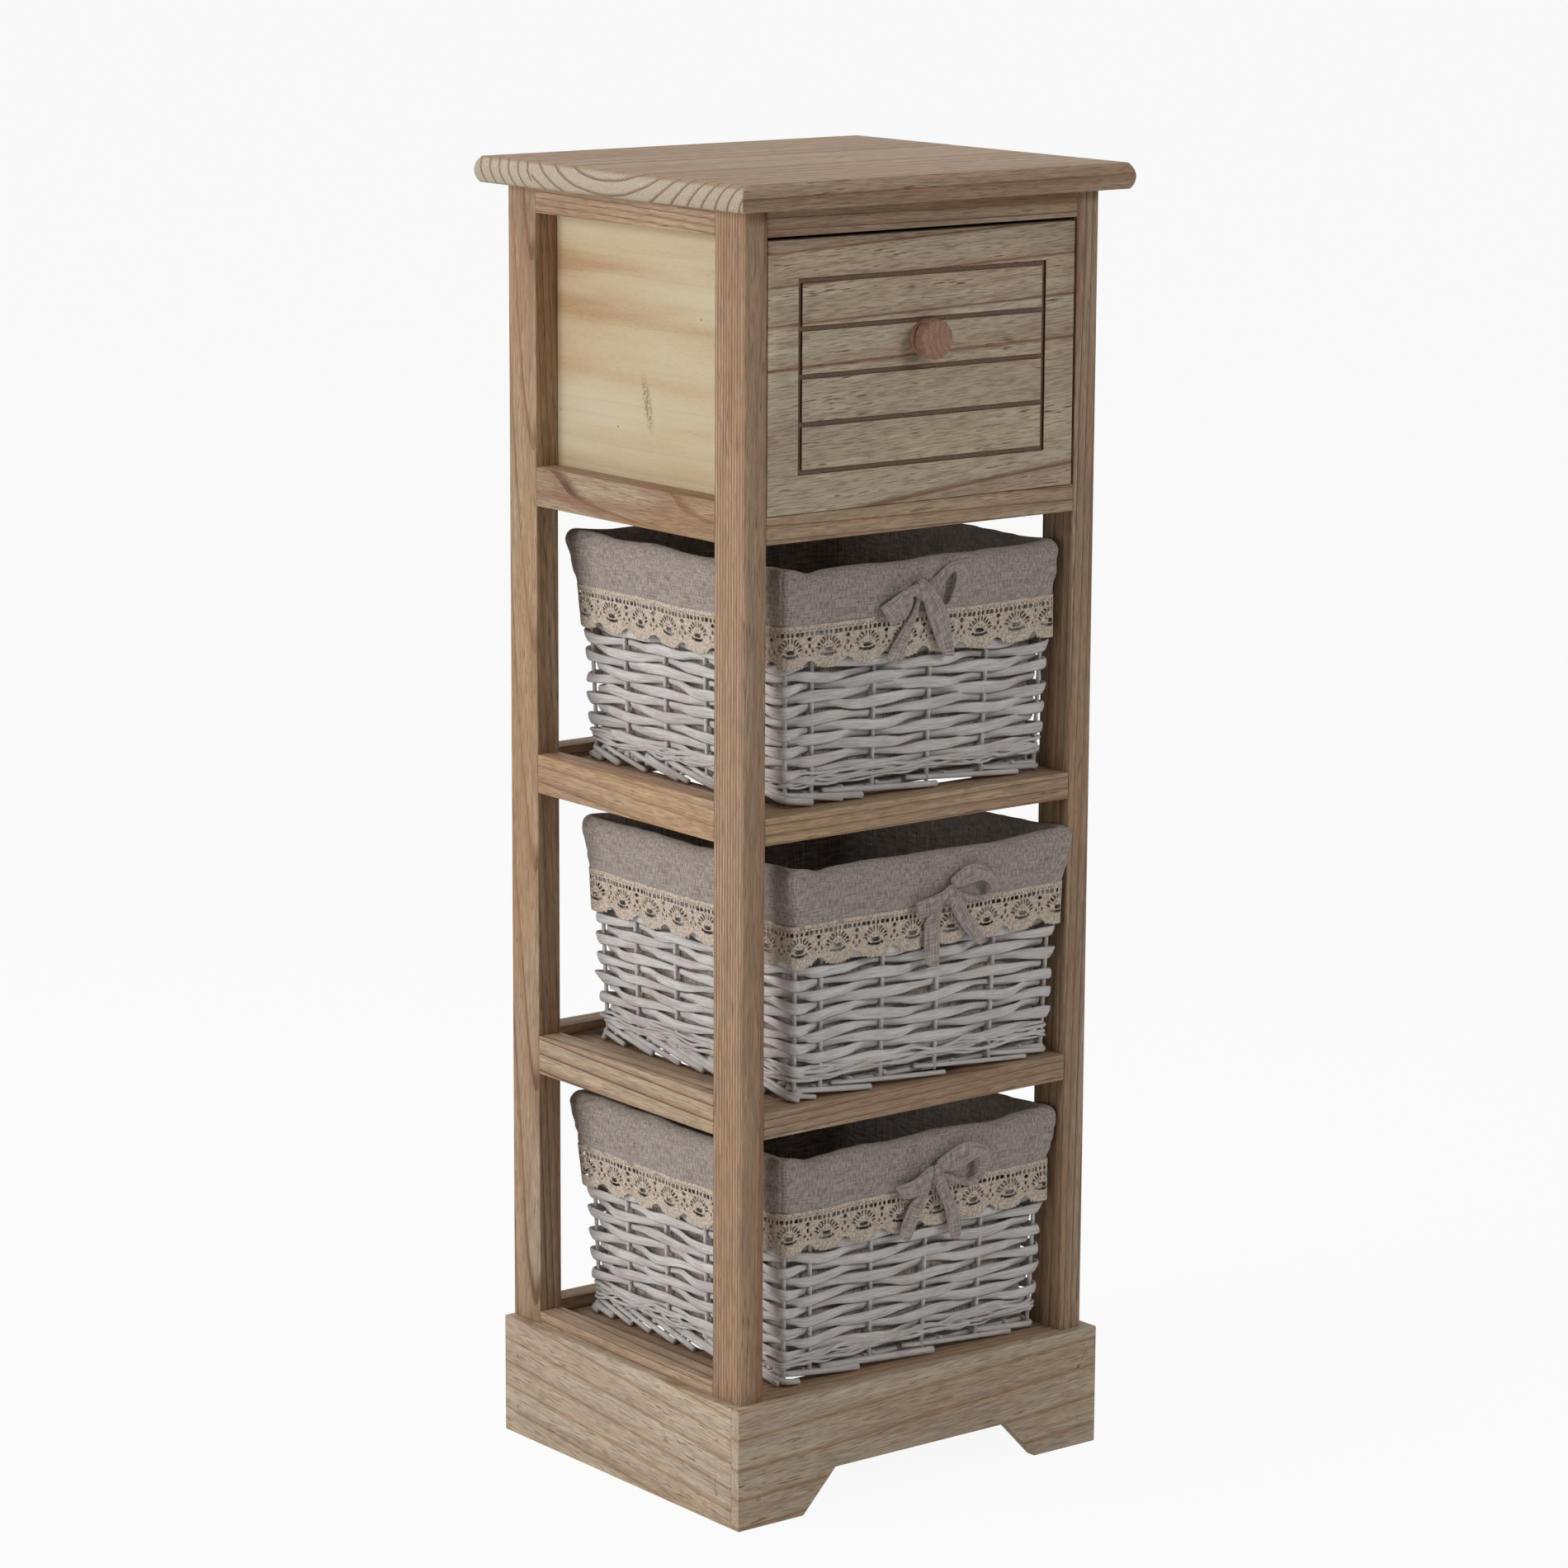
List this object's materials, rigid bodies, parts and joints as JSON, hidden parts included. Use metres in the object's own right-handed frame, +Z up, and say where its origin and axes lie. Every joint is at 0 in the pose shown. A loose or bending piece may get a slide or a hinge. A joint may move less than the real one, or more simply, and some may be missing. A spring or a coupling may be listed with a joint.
{
  "type": "drawer unit with baskets",
  "caption": "Slim wooden bathroom storage unit: moulded top, drawer with turned knob, and open bays with linen-lined wicker baskets on a plinth.",
  "frame": {"origin": "on the floor, under the centre of the top board", "axes": "+Z up, +Y towards the back, +X to the right seen from the front; the drawer opens towards -Y"},
  "size_m": [0.3, 0.27, 0.81],
  "materials": {
    "frame_wood": "oiled pale brown open-grained wood",
    "plywood": "raw pale veneer plywood",
    "knob_wood": "sanded pinkish turned wood",
    "dowel_wood": "fluted raw hardwood",
    "steel": "plain zinc-plated steel",
    "willow": "whitewashed split willow",
    "linen": "plain woven taupe linen",
    "cotton_lace": "cream crocheted cotton"
  },
  "bodies": {
    "cabinet": {"top_board": "frame_wood", "post_front_left": "frame_wood", "post_front_right": "frame_wood", "post_back_left": "frame_wood", "post_back_right": "frame_wood", "top_rail_front": "frame_wood", "top_rail_back": "frame_wood", "top_rail_left": "frame_wood", "top_rail_right": "frame_wood", "drawer_rail_front": "frame_wood", "drawer_rail_back": "frame_wood", "drawer_rail_left": "frame_wood", "drawer_rail_right": "frame_wood", "upper_rail_front": "frame_wood", "upper_rail_back": "frame_wood", "upper_rail_left": "frame_wood", "upper_rail_right": "frame_wood", "middle_rail_front": "frame_wood", "middle_rail_back": "frame_wood", "middle_rail_left": "frame_wood", "middle_rail_right": "frame_wood", "lower_rail_front": "frame_wood", "lower_rail_back": "frame_wood", "lower_rail_left": "frame_wood", "lower_rail_right": "frame_wood", "drawer_runner_left": "frame_wood", "drawer_runner_right": "frame_wood", "upper_runner_left": "frame_wood", "upper_runner_right": "frame_wood", "middle_runner_left": "frame_wood", "middle_runner_right": "frame_wood", "lower_runner_left": "frame_wood", "lower_runner_right": "frame_wood", "side_panel_left": "plywood", "side_panel_right": "plywood", "back_panel": "plywood", "plinth_front": "frame_wood", "plinth_left": "frame_wood", "plinth_right": "frame_wood", "dowels": "dowel_wood", "plinth_brads": "steel"},
    "drawer": {"drawer_front": "frame_wood", "drawer_side_left": "frame_wood", "drawer_side_right": "frame_wood", "drawer_back": "frame_wood", "drawer_bottom": "plywood", "knob": "knob_wood", "knob_screw": "steel"},
    "basket_upper": {"basket_upper_wicker": "willow", "basket_upper_lining": "linen", "basket_upper_lace": "cotton_lace", "basket_upper_bow": "linen"},
    "basket_middle": {"basket_middle_wicker": "willow", "basket_middle_lining": "linen", "basket_middle_lace": "cotton_lace", "basket_middle_bow": "linen"},
    "basket_lower": {"basket_lower_wicker": "willow", "basket_lower_lining": "linen", "basket_lower_lace": "cotton_lace", "basket_lower_bow": "linen"}
  },
  "joints": [
    {"name": "drawer_slide", "type": "slide", "parent": "cabinet", "child": "drawer", "axis": [0, -1, 0], "range_m": [0, 0.15]},
    {"name": "basket_upper_slide", "type": "slide", "parent": "cabinet", "child": "basket_upper", "axis": [0, -1, 0], "range_m": [0, 0.23]},
    {"name": "basket_middle_slide", "type": "slide", "parent": "cabinet", "child": "basket_middle", "axis": [0, -1, 0], "range_m": [0, 0.23]},
    {"name": "basket_lower_slide", "type": "slide", "parent": "cabinet", "child": "basket_lower", "axis": [0, -1, 0], "range_m": [0, 0.23]}
  ]
}
